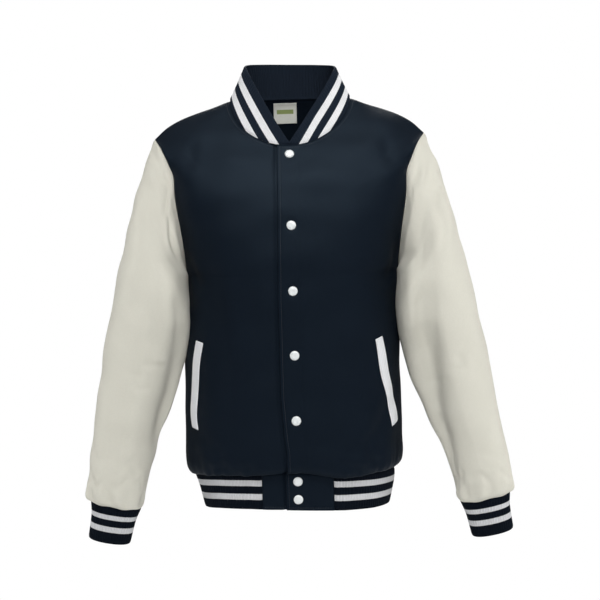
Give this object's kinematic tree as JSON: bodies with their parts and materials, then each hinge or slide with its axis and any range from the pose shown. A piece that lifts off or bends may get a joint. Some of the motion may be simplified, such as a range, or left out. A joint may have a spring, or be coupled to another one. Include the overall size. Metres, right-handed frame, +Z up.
{
  "type": "varsity jacket",
  "caption": "Hollow snap-front varsity jacket, filled out as if worn: dark body, pale set-in sleeves, ribbed collar, hem and cuffs, welt pockets.",
  "frame": {"origin": "midway between the points where the two shoulder seams meet the collar", "axes": "+Z up the wearer, -Y out of the front with the snaps, +X towards the wearer's left"},
  "size_m": [0.6946, 0.2669, 0.7924],
  "materials": {
    "navy_fleece": "matt brushed-back sweatshirt fleece, dark navy",
    "cream_fleece": "matt brushed-back sweatshirt fleece, warm off-white",
    "navy_rib": "matt two-layer rib knit, dark navy with two white stripes",
    "white_rib": "matt white pocket welts",
    "white_snap": "smooth domed snap caps, white enamel",
    "label_satin": "soft satin label, pale grey-green, bare"
  },
  "bodies": {
    "root": {"back": "navy_fleece", "front_left": "navy_fleece", "front_right": "navy_fleece", "sleeve_left": "cream_fleece", "sleeve_right": "cream_fleece", "cuff_left": "navy_rib", "cuff_right": "navy_rib", "hem_rib": "navy_rib", "collar_rib": "navy_rib", "hem_tab_left": "navy_fleece", "hem_tab_right": "navy_fleece", "welt_left": "white_rib", "welt_right": "white_rib", "neck_label": "label_satin", "snap_1": "white_snap", "snap_2": "white_snap", "snap_3": "white_snap", "snap_4": "white_snap", "snap_5": "white_snap", "snap_6": "white_snap", "snap_7": "white_snap"}
  },
  "joints": []
}
